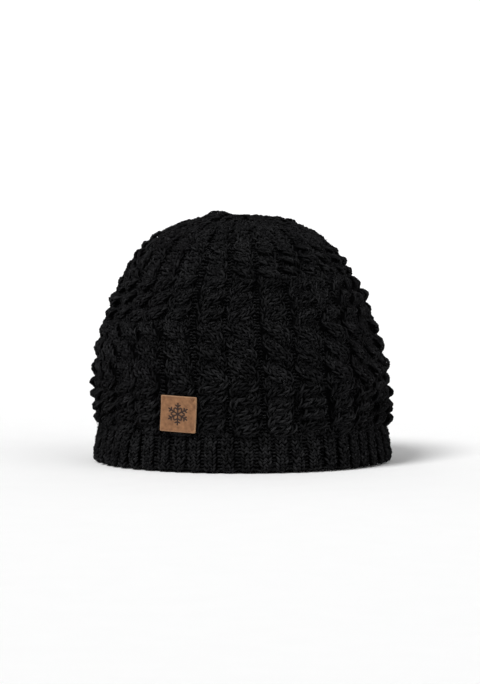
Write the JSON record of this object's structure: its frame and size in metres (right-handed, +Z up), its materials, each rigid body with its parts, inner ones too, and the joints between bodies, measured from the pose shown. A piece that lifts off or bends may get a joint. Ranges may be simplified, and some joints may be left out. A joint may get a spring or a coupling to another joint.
{
  "type": "knit beanie",
  "caption": "Close-fitting cable-knit beanie with a ribbed brim, a square leather patch, a fleece ear band inside and two hanging inner labels.",
  "frame": {"origin": "middle of the brim's lower edge, on the surface that the hat stands on", "axes": "+Z up through the crown; -Y is the front, with the leather patch at the front's left as a viewer sees it (-X); +Y is the back, where the labels hang inside"},
  "size_m": [0.196, 0.196, 0.166],
  "materials": {
    "black_yarn": "matt chunky wool-blend yarn",
    "black_fleece": "brushed fleece",
    "black_thread": "twisted polyester thread",
    "tan_leather": "smooth vegetable-tanned leather",
    "tan_thread": "twisted polyester thread",
    "label_cloth": "woven satin ribbon"
  },
  "bodies": {
    "hat": {"rib_band": "black_yarn", "cable_body": "black_yarn", "crown": "black_yarn", "gather_yarn": "black_yarn", "leather_patch": "tan_leather", "patch_stitches": "tan_thread", "fleece_band": "black_fleece", "lining_top_thread": "black_thread", "lining_bottom_thread": "black_thread", "lining_back_seam": "black_thread", "label_hems": "label_cloth", "label_stitches": "black_thread"},
    "care_label": {"care_label": "label_cloth"},
    "size_tab": {"size_tab": "label_cloth"}
  },
  "joints": [
    {"name": "care_label_swing", "type": "hinge", "parent": "hat", "child": "care_label", "pos_m": [-0.02449, 0.08541, 0.035], "axis": [-0.9613, -0.2756, 0], "range_deg": [0, 160]},
    {"name": "size_tab_swing", "type": "hinge", "parent": "hat", "child": "size_tab", "pos_m": [0.02004, 0.08682, 0.035], "axis": [-0.9744, 0.225, 0], "range_deg": [0, 160]}
  ]
}
